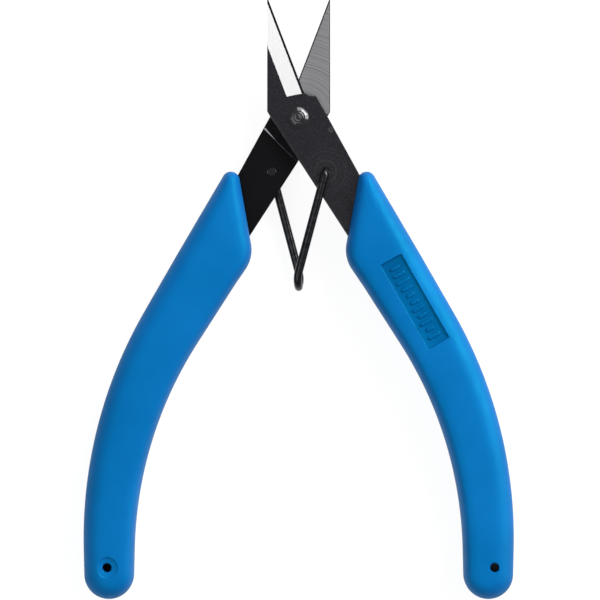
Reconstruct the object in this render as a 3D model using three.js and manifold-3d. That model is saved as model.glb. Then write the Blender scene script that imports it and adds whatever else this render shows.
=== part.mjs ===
// Flush cut pliers: two flat blanked arms on one rivet, a hairpin return spring and two moulded grips.
// The tool lies open and flat: +Z is the thickness, +Y runs from the handles to the jaws, z = 0 is the bench.
// Both arms and both grips are one blank and one moulding, the rear ones turned over about the Y axis.
import * as THREE from "three";
import { ConvexGeometry } from "three/addons/geometries/ConvexGeometry.js";
import { mergeVertices } from "three/addons/utils/BufferGeometryUtils.js";
import Module from "manifold-3d";

const wasm = await Module();
wasm.setup();

// ---------- driving dimensions, in millimetres and degrees ----------

// The arms stand open by this angle on each side of the closed centreline.
const OPEN_HALF_ANGLE = 14.5;

// Blank: a plate with a jaw above the pivot and a straight, tapering handle below it.
const PLATE_THICKNESS = 2.0;
const PLATE_GAP = 0.1;
const GROUND_REACH = 6.65;
const GROUND_STOP_LEAN = 29.9;
const TANG_RELIEF = 0.15;
const JAW_REACH = 24.3;
const JAW_OUTER_OFFSET = 6.3;
const TIP_WIDTH = 0.22;
const EDGE_OFFSET = 2.72;
const SHOULDER_HEIGHT = 4.12;
const SHOULDER_SLOPE = 13;
const SHOULDER_FILLET = 2;
const HEEL_FILLET = 0.7;
const HANDLE_OUTER_OFFSET = 5.1;
const HANDLE_INNER_OFFSET = 4.7;
const HANDLE_OUTER_TAPER = 2.5;
const HANDLE_INNER_TAPER = 1.7;

// Ground bevel on the outer face of the jaw, and the narrow land along the very edge.
const BEVEL_WIDTH = 3.5;
const BEVEL_EDGE_THICKNESS = 0.45;
const LAND_WIDTH = 0.38;
const LAND_EDGE_THICKNESS = 0.12;
const BEVEL_STOP_HEIGHT = 4.45;
const BEVEL_STOP_SLOPE = -3.2;

// Handle line, shared by the tang and the grip: straight from the pivot, one long bend, short straight end.
const HANDLE_LEAN = 16.8;
const HANDLE_STRAIGHT = 49.1;
const HANDLE_BEND_RADIUS = 85;
const HANDLE_END = 5.2;
const TANG_START = 30;
const TANG_END_HALF = 2.4;

// Grip moulding.
const GRIP_THICKNESS = 9.6;
const GRIP_MOUTH_HALF = 6.85;
const GRIP_END_HALF = 4.95;
const GRIP_MOUTH_AT = 20.9;
const GRIP_MOUTH_ANGLE = 41.4;
const GRIP_APEX_RADIUS = 1.75;
const GRIP_BULGE_RADIUS = 7;
const GRIP_EDGE_WIDTH = 1.6;
const GRIP_EDGE_HEIGHT = 3.0;
const GRIP_END_WALL = 2.6;
const SLOT_CLEARANCE = 0.12;
const PANEL_LENGTH = 19.2;
const PANEL_WIDTH = 4.9;
const PANEL_DEPTH = 0.45;
const PANEL_AT = 43.5;
const PANEL_OFFSET = 0.6;
const PANEL_TURN = -1.5;
const END_HOLE_RADIUS = 0.9;
const END_HOLE_FROM_END = 6.4;
const END_HOLE_FRONT_OFFSET = 1.15;
const END_HOLE_BACK_OFFSET = 0.3;

// Rivet and its two shouldered washers.
const RIVET_RADIUS = 1.6;
const RIVET_CLEARANCE = 0.05;
const WASHER_OVERHANG = 0.45;
const WASHER_THICKNESS = 0.6;
const WASHER_SHOULDER = 0.55;
const WASHER_RIM = 0.15;
const WASHER_GAP = 0.05;
const TENON_STEP = 0.85;
const TENON_CLEARANCE = 0.06;
const PEEN_OVERHANG = 0.37;
const PEEN_GAP = 0.05;
const PEEN_HEIGHT = 0.3;
const PEEN_SHOULDER = 0.25;
const DIMPLE_RADIUS = 0.45;
const DIMPLE_DEPTH = 0.22;

// Hairpin spring of round wire, hooked into one hole in each arm.
const WIRE_DIAMETER = 1.65;
const HOOK_CLEARANCE = 0.07;
const HOOK_DISTANCE = 12.1;
const HOOK_ANGLE = 11.75;
const HOOK_INNER_RADIUS = 0.275;
const HOOK_INSET = 0.35;
const SPRING_REACH = 33.95;
const SPRING_FACE_GAP = 0.1;
const SPRING_JOINT_GAP = 0.1;

// Fineness of the round shapes.
const ROUND_SEGMENTS = 40;
const WIRE_SIDES = 10;
const WIRE_STEPS = 84;
const SPINE_STEPS = 16;

// Length of a cubic Bezier's handles, as a share of the radius, that makes a quarter circle.
const QUARTER_HANDLE = 0.5523;

// ---------- places worked out from them ----------

const rad = THREE.MathUtils.degToRad;
const MID_Z = GRIP_THICKNESS / 2;
const FACE_IN = PLATE_GAP / 2;
const FACE_OUT = FACE_IN + PLATE_THICKNESS;
const WIRE_RADIUS = WIRE_DIAMETER / 2;
const LEG_Z = FACE_OUT + SPRING_FACE_GAP + WIRE_RADIUS;
const HOOK_BEND_RADIUS = HOOK_INNER_RADIUS + WIRE_RADIUS;
const SPINE_LENGTH = HANDLE_STRAIGHT + HANDLE_BEND_RADIUS * rad(HANDLE_LEAN + OPEN_HALF_ANGLE) + HANDLE_END;
const CUT_MARGIN = 2;

// Unit vector that leans by an angle from -Y towards +X, and the one square to it on the outer side.
const along = (lean) => new THREE.Vector2(Math.sin(rad(lean)), -Math.cos(rad(lean)));
const outward = (lean) => new THREE.Vector2(Math.cos(rad(lean)), Math.sin(rad(lean)));

// Where two lines meet, each given by its unit normal and its distance from the pivot along it.
function meet(normalA, distanceA, normalB, distanceB) {
  const det = normalA.x * normalB.y - normalA.y * normalB.x;
  return new THREE.Vector2(
    (distanceA * normalB.y - distanceB * normalA.y) / det,
    (normalA.x * distanceB - normalB.x * distanceA) / det,
  );
}

// Point and lean of the handle line at a distance from the pivot, in the arm's closed frame.
function spine(s) {
  const bendEnd = HANDLE_STRAIGHT + HANDLE_BEND_RADIUS * rad(HANDLE_LEAN + OPEN_HALF_ANGLE);
  const straight = along(HANDLE_LEAN).multiplyScalar(Math.min(s, HANDLE_STRAIGHT));
  if (s <= HANDLE_STRAIGHT) return { point: straight, lean: HANDLE_LEAN };
  const turned = Math.min(s, bendEnd) - HANDLE_STRAIGHT;
  const lean = HANDLE_LEAN - THREE.MathUtils.radToDeg(turned / HANDLE_BEND_RADIUS);
  const centre = straight.sub(outward(HANDLE_LEAN).multiplyScalar(HANDLE_BEND_RADIUS));
  const point = centre.add(outward(lean).multiplyScalar(HANDLE_BEND_RADIUS));
  if (s > bendEnd) point.add(along(lean).multiplyScalar(s - bendEnd));
  return { point, lean };
}

// A point beside the handle line: outer side positive.
function beside(s, offset) {
  const { point, lean } = spine(s);
  return point.add(outward(lean).multiplyScalar(offset));
}

const spineStations = (from, to) =>
  Array.from({ length: SPINE_STEPS + 1 }, (_, i) => from + ((to - from) * i) / SPINE_STEPS);

// Half-widths of the arm on each side of the handle line: the straight blank edges, then the narrower tang.
const TANG_END_AT = SPINE_LENGTH + GRIP_END_HALF - GRIP_END_WALL - TANG_END_HALF;
function armHalf(s, offset, taper) {
  const edgeAt = (t) => offset / Math.cos(rad(taper)) - t * Math.tan(rad(taper));
  if (s <= TANG_START) return edgeAt(s);
  return THREE.MathUtils.mapLinear(s, TANG_START, TANG_END_AT, edgeAt(TANG_START), TANG_END_HALF);
}
const armOuter = (s) => armHalf(s, HANDLE_OUTER_OFFSET, HANDLE_OUTER_TAPER);
const armInner = (s) => armHalf(s, HANDLE_INNER_OFFSET, HANDLE_INNER_TAPER);
const gripHalf = (s) =>
  THREE.MathUtils.mapLinear(s, GRIP_MOUTH_AT, SPINE_LENGTH, GRIP_MOUTH_HALF, GRIP_END_HALF);

// ---------- outline and solid helpers ----------

// Points of the arc that rounds a corner between its two neighbours.
function filletPoints(before, corner, after, radius, steps = 5) {
  const toBefore = before.clone().sub(corner).normalize();
  const toAfter = after.clone().sub(corner).normalize();
  const half = Math.acos(THREE.MathUtils.clamp(toBefore.dot(toAfter), -1, 1)) / 2;
  const bisector = toBefore.clone().add(toAfter).normalize();
  const centre = bisector.multiplyScalar(radius / Math.sin(half)).add(corner);
  const start = toBefore.multiplyScalar(radius / Math.tan(half)).add(corner).sub(centre);
  const end = toAfter.multiplyScalar(radius / Math.tan(half)).add(corner).sub(centre);
  const turn = Math.atan2(start.cross(end), start.dot(end));
  return Array.from({ length: steps + 1 }, (_, i) =>
    start.clone().rotateAround(new THREE.Vector2(), (turn * i) / steps).add(centre),
  );
}

// Half circle round the end of a strip, from its outer side to its inner side.
function endArc(s, radius, steps = 12) {
  const { point, lean } = spine(s);
  return Array.from({ length: steps + 1 }, (_, i) => {
    const angle = (Math.PI * i) / steps;
    return outward(lean)
      .multiplyScalar(radius * Math.cos(angle))
      .add(along(lean).multiplyScalar(radius * Math.sin(angle)))
      .add(point);
  });
}

function circlePath(x, y, radius, segments = ROUND_SEGMENTS) {
  const points = Array.from({ length: segments }, (_, i) => {
    const angle = (2 * Math.PI * i) / segments;
    return new THREE.Vector2(x + radius * Math.cos(angle), y + radius * Math.sin(angle));
  });
  return new THREE.Path(points);
}

// A geometry as a manifold-3d solid, and back.
function solid(geometry) {
  const bare = geometry.clone();
  for (const name of ["normal", "uv"]) bare.deleteAttribute(name);
  const merged = mergeVertices(bare, 1e-4);
  return new wasm.Manifold(
    new wasm.Mesh({
      numProp: 3,
      vertProperties: merged.attributes.position.array,
      triVerts: new Uint32Array(merged.index.array),
    }),
  );
}
function geometryOf(manifold) {
  const mesh = manifold.getMesh();
  const geometry = new THREE.BufferGeometry();
  geometry.setAttribute("position", new THREE.BufferAttribute(mesh.vertProperties, 3));
  geometry.setIndex(new THREE.BufferAttribute(mesh.triVerts, 1));
  geometry.computeVertexNormals();
  return geometry;
}

// A flat shape as a slab between two heights above the mid-plane.
function slab(shape, low, high) {
  return new THREE.ExtrudeGeometry(shape, { depth: high - low, bevelEnabled: false }).translate(0, 0, low);
}
const shapeOf = (points) => new THREE.Shape(points);

// ---------- arm ----------

// Hook hole, bored square through the handle close under the boss.
const HOOK_POINT = along(HOOK_ANGLE).multiplyScalar(HOOK_DISTANCE);

// The cutting edge runs from the tip, on the closed centreline, to pass beside the pivot at its offset.
// The jaw's outer edge does the same on the other side, a tip's width away.
const edgeAngle = Math.asin(EDGE_OFFSET / JAW_REACH);
const tipTurn = Math.atan(TIP_WIDTH / JAW_REACH);
const noseAngle = Math.asin(JAW_OUTER_OFFSET / Math.hypot(JAW_REACH, TIP_WIDTH)) - tipTurn;
const jawOuterNormal = new THREE.Vector2(-Math.cos(noseAngle), Math.sin(noseAngle));
const edgeNormal = new THREE.Vector2(Math.cos(edgeAngle), Math.sin(edgeAngle));
const edgeDown = new THREE.Vector2(edgeNormal.y, -edgeNormal.x);
const shoulderNormal = new THREE.Vector2(Math.sin(rad(SHOULDER_SLOPE)), Math.cos(rad(SHOULDER_SLOPE)));
const outerEdgeNormal = outward(HANDLE_LEAN - HANDLE_OUTER_TAPER);
const innerEdgeNormal = outward(HANDLE_LEAN + HANDLE_INNER_TAPER).negate();

function armOutline() {
  const tipNormal = new THREE.Vector2(0, 1).rotateAround(new THREE.Vector2(), -rad(OPEN_HALF_ANGLE));
  const tipDistance = JAW_REACH * Math.cos(rad(OPEN_HALF_ANGLE));
  const tipOuter = meet(jawOuterNormal, JAW_OUTER_OFFSET, tipNormal, tipDistance);
  const tipInner = meet(edgeNormal, EDGE_OFFSET, tipNormal, tipDistance);
  const edgeFoot = meet(edgeNormal, EDGE_OFFSET, shoulderNormal, SHOULDER_HEIGHT);
  const shoulder = meet(shoulderNormal, SHOULDER_HEIGHT, outerEdgeNormal, HANDLE_OUTER_OFFSET);
  const heel = meet(innerEdgeNormal, HANDLE_INNER_OFFSET, jawOuterNormal, JAW_OUTER_OFFSET);
  const stations = spineStations(TANG_START, TANG_END_AT);
  const outerSide = stations.map((s) => beside(s, armOuter(s)));
  const innerSide = stations.map((s) => beside(s, -armInner(s))).reverse();
  return [
    tipInner,
    ...filletPoints(tipInner, edgeFoot, shoulder, SHOULDER_FILLET),
    shoulder,
    ...outerSide,
    ...endArc(TANG_END_AT, TANG_END_HALF).slice(1, -1),
    ...innerSide,
    ...filletPoints(innerSide.at(-1), heel, tipOuter, HEEL_FILLET),
    tipOuter,
  ].reverse();
}

// Wedge that grinds a strip along the cutting edge down from one height to another.
function edgeWedge(width, lowIn, lowEdge) {
  const slope = (lowEdge - lowIn) / width;
  const stopNormal = new THREE.Vector2(-Math.sin(rad(BEVEL_STOP_SLOPE)), Math.cos(rad(BEVEL_STOP_SLOPE)));
  const points = [];
  for (const [inset, height] of [
    [width, lowIn],
    [-CUT_MARGIN, lowEdge + slope * CUT_MARGIN],
  ]) {
    const foot = meet(edgeNormal, EDGE_OFFSET - inset, stopNormal, BEVEL_STOP_HEIGHT);
    const top = foot.clone().addScaledVector(edgeDown, -(JAW_REACH + CUT_MARGIN));
    for (const at of [foot, top]) {
      points.push(new THREE.Vector3(at.x, at.y, height));
      points.push(new THREE.Vector3(at.x, at.y, FACE_OUT + CUT_MARGIN));
    }
  }
  return new ConvexGeometry(points);
}

// The mating face is ground from the jaw to a straight line past the pivot. Beyond it the handle stands back.
function reliefShape() {
  const far = 2 * SPINE_LENGTH;
  const way = along(GROUND_STOP_LEAN);
  const square = outward(GROUND_STOP_LEAN);
  const corner = (reach, side) =>
    new THREE.Vector2().addScaledVector(way, reach).addScaledVector(square, side);
  return shapeOf([
    corner(GROUND_REACH, -far),
    corner(far, -far),
    corner(far, far),
    corner(GROUND_REACH, far),
  ]);
}

function armGeometry() {
  const shape = shapeOf(armOutline());
  shape.holes.push(circlePath(0, 0, RIVET_RADIUS + RIVET_CLEARANCE));
  shape.holes.push(circlePath(HOOK_POINT.x, HOOK_POINT.y, WIRE_RADIUS + HOOK_CLEARANCE, ROUND_SEGMENTS / 2));
  let arm = solid(slab(shape, FACE_IN, FACE_OUT));
  arm = arm.subtract(solid(slab(reliefShape(), -CUT_MARGIN, FACE_IN + TANG_RELIEF)));
  arm = arm.subtract(solid(edgeWedge(BEVEL_WIDTH, FACE_OUT, FACE_IN + BEVEL_EDGE_THICKNESS)));
  const bevelRise = ((PLATE_THICKNESS - BEVEL_EDGE_THICKNESS) * LAND_WIDTH) / BEVEL_WIDTH;
  const landTop = FACE_IN + BEVEL_EDGE_THICKNESS + bevelRise;
  arm = arm.subtract(solid(edgeWedge(LAND_WIDTH, landTop, FACE_IN + LAND_EDGE_THICKNESS)));
  return geometryOf(arm);
}

// ---------- grip ----------

function gripOutline() {
  // The mouth is a straight cut across the handle, leaning back from the outer side to the inner one.
  const across = 1 / Math.tan(rad(GRIP_MOUTH_ANGLE));
  const mouthAt = (offset) => GRIP_MOUTH_AT - offset * across;
  const apex = beside(mouthAt(GRIP_MOUTH_HALF), GRIP_MOUTH_HALF);
  const bulge = beside(mouthAt(-GRIP_MOUTH_HALF), -GRIP_MOUTH_HALF);
  const straightStart = mouthAt(-GRIP_MOUTH_HALF) + GRIP_BULGE_RADIUS;
  const stations = spineStations(straightStart, SPINE_LENGTH);
  const outerSide = stations.map((s) => beside(s, gripHalf(s)));
  const innerSide = stations.map((s) => beside(s, -gripHalf(s))).reverse();
  return [
    ...filletPoints(bulge, apex, outerSide[0], GRIP_APEX_RADIUS, 8),
    ...outerSide,
    ...endArc(SPINE_LENGTH, GRIP_END_HALF, 16).slice(1, -1),
    ...innerSide,
    ...filletPoints(innerSide.at(-1), bulge, apex, GRIP_BULGE_RADIUS, 6),
  ].reverse();
}

function slotShape() {
  const stations = [0, ...spineStations(TANG_START, TANG_END_AT)];
  const outerSide = stations.map((s) => beside(s, armOuter(s) + SLOT_CLEARANCE));
  const innerSide = stations.map((s) => beside(s, -armInner(s) - SLOT_CLEARANCE)).reverse();
  return shapeOf([
    ...outerSide,
    ...endArc(TANG_END_AT, TANG_END_HALF + SLOT_CLEARANCE).slice(1, -1),
    ...innerSide,
  ].reverse());
}

function gripGeometry() {
  const body = new THREE.ExtrudeGeometry(shapeOf(gripOutline()), {
    depth: GRIP_THICKNESS - 2 * GRIP_EDGE_HEIGHT,
    bevelEnabled: true,
    bevelSize: GRIP_EDGE_WIDTH,
    bevelOffset: -GRIP_EDGE_WIDTH,
    bevelThickness: GRIP_EDGE_HEIGHT,
    bevelSegments: 4,
  });
  body.translate(0, 0, GRIP_EDGE_HEIGHT - MID_Z);
  let grip = solid(body);
  const slotLow = FACE_IN + TANG_RELIEF - SLOT_CLEARANCE;
  grip = grip.subtract(solid(slab(slotShape(), slotLow, FACE_OUT + SLOT_CLEARANCE)));
  const { point, lean } = spine(PANEL_AT);
  const panel = new THREE.BoxGeometry(PANEL_WIDTH, PANEL_LENGTH, 2 * PANEL_DEPTH);
  panel.rotateZ(rad(lean + PANEL_TURN));
  const panelPoint = point.add(outward(lean).multiplyScalar(PANEL_OFFSET));
  panel.translate(panelPoint.x, panelPoint.y, MID_Z);
  grip = grip.subtract(solid(panel));
  // Each face has its own hole down to the tang, left by the pins that held the tang in the mould.
  const tangMiddle = (FACE_IN + FACE_OUT) / 2;
  for (const [offset, side] of [
    [END_HOLE_FRONT_OFFSET, 1],
    [END_HOLE_BACK_OFFSET, -1],
  ]) {
    const at = beside(SPINE_LENGTH + GRIP_END_HALF - END_HOLE_FROM_END, offset);
    const round = shapeOf(circlePath(at.x, at.y, END_HOLE_RADIUS, ROUND_SEGMENTS / 2).getPoints());
    const low = side > 0 ? tangMiddle : tangMiddle - GRIP_THICKNESS;
    grip = grip.subtract(solid(slab(round, low, low + GRIP_THICKNESS)));
  }
  return geometryOf(grip);
}

// ---------- rivet and washers ----------

// The washer covers the bore, and the end of the rivet's tenon is peened over the washer.
const WASHER_RADIUS = RIVET_RADIUS + WASHER_OVERHANG;
const TENON_RADIUS = RIVET_RADIUS - TENON_STEP;
const PEEN_RADIUS = TENON_RADIUS + PEEN_OVERHANG;
const WASHER_LOW = FACE_OUT + WASHER_GAP;
const WASHER_TOP = WASHER_LOW + WASHER_THICKNESS;

// Lathe turned from the Y axis to the Z axis: profile points are radius and height.
function turned(profile) {
  const points = profile.map(([radius, height]) => new THREE.Vector2(radius, height));
  return new THREE.LatheGeometry(points, ROUND_SEGMENTS).rotateX(Math.PI / 2);
}

function rivetGeometry() {
  const low = WASHER_TOP + PEEN_GAP;
  const top = low + PEEN_HEIGHT;
  const upper = [
    [RIVET_RADIUS, FACE_OUT],
    [TENON_RADIUS, FACE_OUT],
    [TENON_RADIUS, low],
    [PEEN_RADIUS, low],
    [PEEN_RADIUS, low + PEEN_HEIGHT / 3],
    [PEEN_RADIUS - PEEN_SHOULDER, top],
    [DIMPLE_RADIUS, top],
    [0, top - DIMPLE_DEPTH],
  ];
  const lower = upper.map(([radius, height]) => [radius, -height]).reverse();
  return turned([...lower, ...upper]);
}

function washerGeometry() {
  const bore = TENON_RADIUS + TENON_CLEARANCE;
  return turned([
    [bore, WASHER_LOW],
    [WASHER_RADIUS, WASHER_LOW],
    [WASHER_RADIUS, WASHER_LOW + WASHER_RIM],
    [WASHER_RADIUS - WASHER_SHOULDER, WASHER_TOP],
    [bore, WASHER_TOP],
    [bore, WASHER_LOW],
  ]);
}

// ---------- spring ----------

// One half of the hairpin, from its hook in the arm to the bottom of the U-bend on the mid-plane.
function springLegGeometry() {
  const hook = HOOK_POINT.clone().rotateAround(new THREE.Vector2(), rad(OPEN_HALF_ANGLE));
  const uStart = new THREE.Vector2(0, -(SPRING_REACH - LEG_Z));
  const legWay = uStart.clone().sub(hook).normalize();
  const at = (p, z) => new THREE.Vector3(p.x, p.y, z);
  const bendEnd = hook.clone().addScaledVector(legWay, HOOK_BEND_RADIUS);
  const path = new THREE.CurvePath();
  path.add(new THREE.LineCurve3(at(hook, FACE_IN + HOOK_INSET), at(hook, LEG_Z - HOOK_BEND_RADIUS)));
  path.add(
    new THREE.CubicBezierCurve3(
      at(hook, LEG_Z - HOOK_BEND_RADIUS),
      at(hook, LEG_Z - HOOK_BEND_RADIUS * (1 - QUARTER_HANDLE)),
      at(bendEnd.clone().addScaledVector(legWay, -HOOK_BEND_RADIUS * QUARTER_HANDLE), LEG_Z),
      at(bendEnd, LEG_Z),
    ),
  );
  path.add(new THREE.LineCurve3(at(bendEnd, LEG_Z), at(uStart, LEG_Z)));
  path.add(
    new THREE.CubicBezierCurve3(
      at(uStart, LEG_Z),
      at(uStart.clone().addScaledVector(legWay, LEG_Z * QUARTER_HANDLE), LEG_Z),
      new THREE.Vector3(0, -SPRING_REACH, LEG_Z * QUARTER_HANDLE),
      new THREE.Vector3(0, -SPRING_REACH, SPRING_JOINT_GAP / 2),
    ),
  );
  const section = new THREE.Shape(circlePath(0, 0, WIRE_RADIUS, WIRE_SIDES).getPoints());
  return new THREE.ExtrudeGeometry(section, { steps: WIRE_STEPS, bevelEnabled: false, extrudePath: path });
}

// ---------- materials and assembly ----------

// The origin is under the middle of the open tool's box, so the pivot stands this far towards the jaws.
const jawTop = JAW_REACH * Math.cos(rad(OPEN_HALF_ANGLE));
const gripEnd = spine(SPINE_LENGTH).point.rotateAround(new THREE.Vector2(), rad(OPEN_HALF_ANGLE));
const gripBottom = gripEnd.y - GRIP_END_HALF;
const PIVOT_Y = -(jawTop + gripBottom) / 2;

const blackOxide = () => new THREE.MeshStandardMaterial({ color: 0x2b2a30, roughness: 0.5, metalness: 0.85 });
const rivetSteel = () => new THREE.MeshStandardMaterial({ color: 0x34333a, roughness: 0.25, metalness: 1 });
const springWire = () => new THREE.MeshStandardMaterial({ color: 0x17171a, roughness: 0.3, metalness: 0.8 });
const blueRubber = () => new THREE.MeshStandardMaterial({ color: 0x1470bc, roughness: 0.55, metalness: 0 });

const group = new THREE.Group();
function place(name, geometry, material, parent) {
  const mesh = new THREE.Mesh(geometry, material);
  mesh.name = name;
  parent.add(mesh);
}

// Front things face up; rear things are the same ones turned over about the Y axis.
for (const side of ["front", "rear"]) {
  const half = new THREE.Group();
  half.position.set(0, PIVOT_Y, MID_Z);
  if (side === "rear") half.rotation.y = Math.PI;
  group.add(half);
  const swung = new THREE.Group();
  swung.rotation.z = rad(OPEN_HALF_ANGLE);
  half.add(swung);
  place(side + "_arm", armGeometry(), blackOxide(), swung);
  place(side + "_grip", gripGeometry(), blueRubber(), swung);
  place(side + "_washer", washerGeometry(), rivetSteel(), half);
  place("spring_" + side + "_leg", springLegGeometry(), springWire(), half);
}
const rivetSeat = new THREE.Group();
rivetSeat.position.set(0, PIVOT_Y, MID_Z);
group.add(rivetSeat);
place("pivot_rivet", rivetGeometry(), rivetSteel(), rivetSeat);

export default group;
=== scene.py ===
import math

import bmesh
import bpy
import numpy as np
from mathutils import Matrix, Vector


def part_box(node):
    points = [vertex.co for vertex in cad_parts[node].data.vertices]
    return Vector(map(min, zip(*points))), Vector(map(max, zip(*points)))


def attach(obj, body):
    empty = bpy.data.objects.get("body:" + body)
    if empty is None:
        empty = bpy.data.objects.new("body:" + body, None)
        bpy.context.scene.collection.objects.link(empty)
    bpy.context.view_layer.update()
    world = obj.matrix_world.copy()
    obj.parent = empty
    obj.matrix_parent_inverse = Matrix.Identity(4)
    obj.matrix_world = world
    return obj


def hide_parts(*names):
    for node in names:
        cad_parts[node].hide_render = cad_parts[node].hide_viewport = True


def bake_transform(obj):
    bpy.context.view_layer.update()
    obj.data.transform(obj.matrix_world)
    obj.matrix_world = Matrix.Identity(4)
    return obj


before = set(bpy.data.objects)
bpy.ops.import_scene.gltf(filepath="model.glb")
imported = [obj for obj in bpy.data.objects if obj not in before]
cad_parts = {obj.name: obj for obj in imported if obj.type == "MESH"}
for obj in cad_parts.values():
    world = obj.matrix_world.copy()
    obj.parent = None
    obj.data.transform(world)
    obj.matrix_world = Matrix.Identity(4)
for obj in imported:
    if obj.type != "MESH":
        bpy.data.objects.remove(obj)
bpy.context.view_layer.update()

# ---------- bench, lamps and camera ----------
# The open pliers lie flat on a white light table, on the two grips.
# A soft key lamp stands beyond them to the right, between two weaker ones.
# A wide lamp fills from the left.
scene = bpy.context.scene
rivet_low, rivet_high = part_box("pivot_rivet")
pivot = (Vector(rivet_low) + Vector(rivet_high)) / 2
view_below_pivot = 0.03654
view_beside_pivot = 0.00026
camera_height = 1.0
camera_lens = 300.0


def shown(name, data):
    """Puts a mesh, lamp or camera into the scene as an object."""
    made = bpy.data.objects.new(name, data)
    scene.collection.objects.link(made)
    return made


view_centre = Vector((view_beside_pivot, pivot.y - view_below_pivot, pivot.z))
camera = shown("camera", bpy.data.cameras.new("camera"))
camera.data.type = "PERSP"
camera.data.lens = camera_lens
camera.data.sensor_width = 36.0
camera.location = view_centre + Vector((0.0, 0.0, camera_height))
scene.camera = camera


def lamp(name, place, size, power, colour):
    made = shown(name, bpy.data.lights.new(name, "AREA"))
    made.data.shape = "RECTANGLE"
    made.data.size, made.data.size_y = size
    made.data.energy = power
    made.data.color = colour
    made.location = place
    made.rotation_mode = "QUATERNION"
    made.rotation_quaternion = (Vector(place) - view_centre).to_track_quat("Z", "Y")
    return made


lamp("key_lamp", (0.39, 0.39, 0.36), (0.50, 0.26), 6.8, (1.0, 0.995, 0.98))
lamp("fill_lamp", (-0.40, -0.26, 0.80), (1.10, 1.10), 5.9, (0.97, 0.985, 1.0))
lamp("right_lamp", (0.62, 0.10, 0.29), (0.40, 0.22), 2.2, (1.0, 1.0, 1.0))
lamp("top_lamp", (0.10, 0.66, 0.28), (0.40, 0.22), 1.5, (1.0, 1.0, 1.0))
scene.world = bpy.data.worlds.new("room")
scene.world.use_nodes = True
scene.world.node_tree.nodes["Background"].inputs["Color"].default_value = (0.34, 0.345, 0.355, 1.0)
scene.world.node_tree.nodes["Background"].inputs["Strength"].default_value = 1.0
scene.view_settings.view_transform = "Standard"


def new_finish(name, **sockets):
    """A new material, with values for its own sockets."""
    made = bpy.data.materials.new(name)
    made.use_nodes = True
    for socket, value in sockets.items():
        made.node_tree.nodes["Principled BSDF"].inputs[socket.replace("_", " ")].default_value = value
    return made


def add(finish, kind, settings=None, **sockets):
    """One more node in a finish, with its settings and the values of its sockets."""
    made = finish.node_tree.nodes.new(kind)
    for key, value in (settings or {}).items():
        setattr(made, key, value)
    for socket, value in sockets.items():
        made.inputs[socket.replace("_", " ")].default_value = value
    return made


def tie(finish, source, output, target, socket):
    finish.node_tree.links.new(source.outputs[output], target.inputs[socket])


def give(finish, socket, source, output):
    """Ties a pattern to one of the finish's own sockets."""
    tie(finish, source, output, finish.node_tree.nodes["Principled BSDF"], socket)


def object_place(finish):
    """The node that says where on the object a point is."""
    return add(finish, "ShaderNodeTexCoord")


def ramp(finish, pattern, stops):
    """Colours a pattern by stops of (value, colour)."""
    made = add(finish, "ShaderNodeValToRGB")
    while len(made.color_ramp.elements) < len(stops):
        made.color_ramp.elements.new(0.5)
    for element, (at, colour) in zip(made.color_ramp.elements, stops):
        element.position = at
        element.color = (*colour, 1.0)
    tie(finish, pattern, "Fac", made, "Fac")
    return made


def spread(finish, source, output, low, high, from_low=0.3, from_high=0.7):
    """Stretches a value from one range to another, and stops at its ends."""
    made = add(finish, "ShaderNodeMapRange", From_Min=from_low, From_Max=from_high, To_Min=low, To_Max=high)
    tie(finish, source, output, made, "Value")
    return made


def grain(finish, scale, detail=3.0, roughness=0.6):
    """Noise fixed to the object, finer for a larger scale."""
    made = add(finish, "ShaderNodeTexNoise", Scale=scale, Detail=detail, Roughness=roughness)
    tie(finish, object_place(finish), "Object", made, "Vector")
    return made


def bump(finish, pattern, strength, distance, below=None):
    made = add(finish, "ShaderNodeBump", Strength=strength, Distance=distance)
    tie(finish, pattern, "Fac", made, "Height")
    if below is not None:
        tie(finish, below, "Normal", made, "Normal")
    return made


bench_glow = {"Emission_Color": (1.0, 1.0, 1.0, 1.0), "Emission_Strength": 0.9}
bench_white = new_finish("bench_white", Roughness=0.9, Specular_IOR_Level=0.0, **bench_glow)
bench_stops = [(0.3, (0.11, 0.11, 0.11)), (0.7, (0.13, 0.13, 0.13))]
give(bench_white, "Base Color", ramp(bench_white, grain(bench_white, 14.0), bench_stops), "Color")
bench_half = 3.0
bench_height = -0.00005
bench_signs = [(-1, -1), (1, -1), (1, 1), (-1, 1)]
bench_corners = [(x * bench_half, y * bench_half, bench_height) for x, y in bench_signs]
bench_mesh = bpy.data.meshes.new("bench")
bench_mesh.from_pydata(bench_corners, [], [(0, 1, 2, 3)])
bench_mesh.materials.append(bench_white)
shown("bench", bench_mesh)

# ---------- arms ----------
# Two equal arms blanked from 2 mm steel plate and blackened all over, one turned over on the other.
# The mating faces are then ground flat, and each jaw gets a ground bevel down to its cutting edge.
open_half_angle = math.radians(14.5)
face_in = 0.00005
face_out = 0.00205
jaw_reach = 0.0243
tip_length = 0.0012
edge_break = 0.00014
break_angle = math.radians(28)
same_place = 0.000001
hook_distance = 0.0121
hook_lean = math.radians(11.75)
rub_place = (0.0064, -0.0025)
# The colour mix's sockets go by number, because its other kinds share their names.
mix_under, mix_over, mix_colour = 6, 7, 2


def from_closed(side):
    """Carries the closed arm, about its pivot, to its open place in the tool."""
    turned_over = Matrix.Rotation(math.pi if side == "rear" else 0.0, 4, "Y")
    return Matrix.Translation(pivot) @ turned_over @ Matrix.Rotation(open_half_angle, 4, "Z")


def along(lean):
    """The way down a handle that leans outwards by an angle."""
    return Vector((math.sin(lean), -math.cos(lean)))


hook_axis = along(hook_lean) * hook_distance
hook_place = Matrix.Rotation(open_half_angle, 2) @ hook_axis


def lines_by(finish, distance, output, per_metre, detail=2.0):
    """Parallel scratches: noise that changes only with one distance."""
    settings = {"noise_dimensions": "1D"}
    made = add(finish, "ShaderNodeTexNoise", settings, Scale=per_metre, Detail=detail, Roughness=0.7)
    tie(finish, distance, output, made, "W")
    return made


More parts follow.
